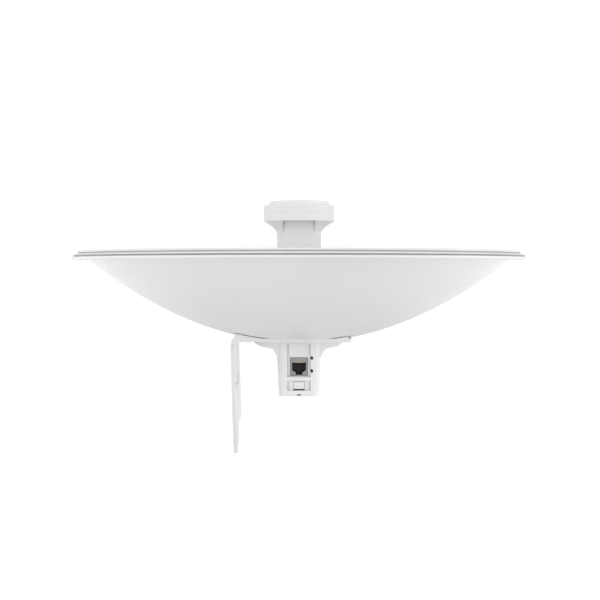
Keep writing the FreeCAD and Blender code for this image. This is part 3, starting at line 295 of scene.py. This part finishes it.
MATERIALS = {
    "dish_paint": powder_coat("dish_paint", WHITE_DISH, grooves=RIM_GROOVES),
    "bracket_paint": powder_coat("bracket_paint", WHITE_STEEL, peel=700.0),
    "housing_plastic": moulding("housing_plastic", WHITE_HOUSING, rough=(0.40, 0.52)),
    "feed_plastic": moulding("feed_plastic", WHITE_FEED, rough=(0.29, 0.38), strength=0.08),
    "zinc_steel": plated("zinc_steel", (0.62, 0.63, 0.64)),
    "gasket_rubber": soft_rubber("gasket_rubber", (0.02, 0.02, 0.021)),
    "plate_aluminium": plated("plate_aluminium", (0.78, 0.79, 0.80), rough=(0.28, 0.4)),
    "spacer_foam": foam("spacer_foam"),
    "circuit_board": circuit("circuit_board"),
    "contact_brass": plated("contact_brass", (0.83, 0.62, 0.26), rough=(0.17, 0.26)),
    "shield_steel": plated("shield_steel", (0.36, 0.345, 0.33)),
    "chip_plastic": moulding("chip_plastic", (0.018, 0.018, 0.019), rough=(0.5, 0.65)),
    "pad_rubber": soft_rubber("pad_rubber", (0.24, 0.28, 0.33)),
    "lens_plastic": moulding("lens_plastic", (0.012, 0.012, 0.014), rough=(0.08, 0.16),
                             strength=0.02),
    "button_plastic": moulding("button_plastic", (0.02, 0.02, 0.021), rough=(0.42, 0.55)),
    "socket_plastic": moulding("socket_plastic", (0.008, 0.008, 0.009), rough=(0.4, 0.55)),
}


def paint(node_name):
    """Give a CAD node its material."""
    mesh = NODES[node_name].data
    mesh.materials.clear()
    mesh.materials.append(MATERIALS[SLOT_OF[node_name]])


for each_node in NODES:
    paint(each_node)


# ------------------------------------------------------------------ camera


def make_camera():
    """Level with the dish's upper part, one metre in front of its axis."""
    data = bpy.data.cameras.new("camera")
    data.sensor_width = SENSOR
    data.lens = LENS
    data.clip_start, data.clip_end = 0.05, 60.0
    camera = bpy.data.objects.new("camera", data)
    bpy.context.scene.collection.objects.link(camera)
    camera.location = AXIS + Vector((0.0, -VIEW_DISTANCE, VERTEX_Z + EYE_HEIGHT))
    aim = AXIS + Vector((AIM_ACROSS, 0.0, VERTEX_Z + AIM_HEIGHT))
    camera.rotation_euler = (aim - camera.location).to_track_quat("-Z", "Y").to_euler()
    bpy.context.scene.camera = camera


# ------------------------------------------------------------------ floor and light


def make_floor():
    """A wide pale floor well under the part, which is held by its bracket."""
    mesh = bpy.data.meshes.new("floor")
    shape = bmesh.new()
    bmesh.ops.create_circle(shape, cap_ends=True, segments=96, radius=FLOOR_RADIUS)
    shape.to_mesh(mesh)
    shape.free()
    floor = bpy.data.objects.new("floor", mesh)
    floor.location = AXIS + Vector((0.0, 0.0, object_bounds()[0].z - FLOOR_DROP))
    bpy.context.scene.collection.objects.link(floor)
    n = Nodes("floor_paint")
    mottle = n.drift(n.noise(3.0, 3.0))
    n.finish(n.mix(mottle, *FLOOR_GREYS), n.spread(n.noise(40.0), 0.6, 0.8), None,
             Emission_Color=(1.0, 1.0, 1.0, 1.0))
    across = n.add("ShaderNodeSeparateXYZ")
    n.link(n.place, across.inputs["Vector"])
    away = n.add("ShaderNodeMath", operation="ABSOLUTE")
    n.link(across.outputs["X"], away.inputs[0])
    n.link(n.spread(away.outputs["Value"], *FLOOR_GLOW, *FLOOR_GLOW_REACH),
           n.shader.inputs["Emission Strength"])
    whiten(n.tree, n.shader.outputs["BSDF"], n.tree.nodes["Material Output"])
    mesh.materials.append(n.material)


def whiten(tree, lit, output):
    """Show a surface or the surroundings as plain white, while they light the part as set."""
    shown = tree.nodes.new("ShaderNodeEmission")
    shown.inputs["Strength"].default_value = SHOWN_WHITE
    rays = tree.nodes.new("ShaderNodeLightPath")
    mix = tree.nodes.new("ShaderNodeMixShader")
    tree.links.new(rays.outputs["Is Camera Ray"], mix.inputs["Fac"])
    tree.links.new(lit, mix.inputs[1])
    tree.links.new(shown.outputs["Emission"], mix.inputs[2])
    tree.links.new(mix.outputs["Shader"], output.inputs["Surface"])


def area_light(name, place, target, size, power):
    """A soft rectangular light that points at a target."""
    data = bpy.data.lights.new(name, "AREA")
    data.shape = "RECTANGLE"
    data.size, data.size_y = size
    data.energy = power
    light = bpy.data.objects.new(name, data)
    light.location = place
    light.rotation_euler = (target - place).to_track_quat("-Z", "Y").to_euler()
    bpy.context.scene.collection.objects.link(light)


def world_ramp(tree, direction, reach, strengths):
    """A smooth change of brightness along one axis of the surroundings."""
    ramp = tree.nodes.new("ShaderNodeMapRange")
    ramp.interpolation_type = "SMOOTHSTEP"
    ramp.inputs["From Min"].default_value, ramp.inputs["From Max"].default_value = reach
    ramp.inputs["To Min"].default_value, ramp.inputs["To Max"].default_value = strengths
    tree.links.new(direction, ramp.inputs["Value"])
    return ramp.outputs["Result"]


def make_world():
    """White studio surroundings, brighter behind the camera than opposite it, dimmer overhead."""
    world = bpy.data.worlds.new("studio")
    bpy.context.scene.world = world
    world.use_nodes = True
    tree = world.node_tree
    place = tree.nodes.new("ShaderNodeTexCoord")
    split = tree.nodes.new("ShaderNodeSeparateXYZ")
    tree.links.new(place.outputs["Generated"], split.inputs["Vector"])
    depth = world_ramp(tree, split.outputs["Y"], (-1.0, 0.35), (1.24, 0.84))
    height = world_ramp(tree, split.outputs["Z"], (0.0, 0.9), (1.0, 0.74))
    both = tree.nodes.new("ShaderNodeMath")
    both.operation = "MULTIPLY"
    tree.links.new(depth, both.inputs[0])
    tree.links.new(height, both.inputs[1])
    lighting = tree.nodes["Background"]
    lighting.inputs["Color"].default_value = SKY
    tree.links.new(both.outputs["Value"], lighting.inputs["Strength"])
    whiten(tree, lighting.outputs["Background"], tree.nodes["World Output"])


def make_lights():
    """Two tall soft boxes at the sides and a broad soft one overhead."""
    middle = AXIS + Vector((0.0, 0.0, VERTEX_Z + LIGHT_CENTRE))
    for name, across, power in SIDE_LIGHTS:
        area_light(name, middle + Vector((across, -0.3, -0.25)), middle, SIDE_SIZE, power)
    above = middle + Vector((0.0, 0.1, 2.0))
    area_light("overhead", above, middle, OVERHEAD_SIZE, OVERHEAD_POWER)


make_camera()
make_floor()
make_world()
make_lights()
bpy.context.scene.view_settings.view_transform = "Standard"
bpy.context.scene.view_settings.look = "None"
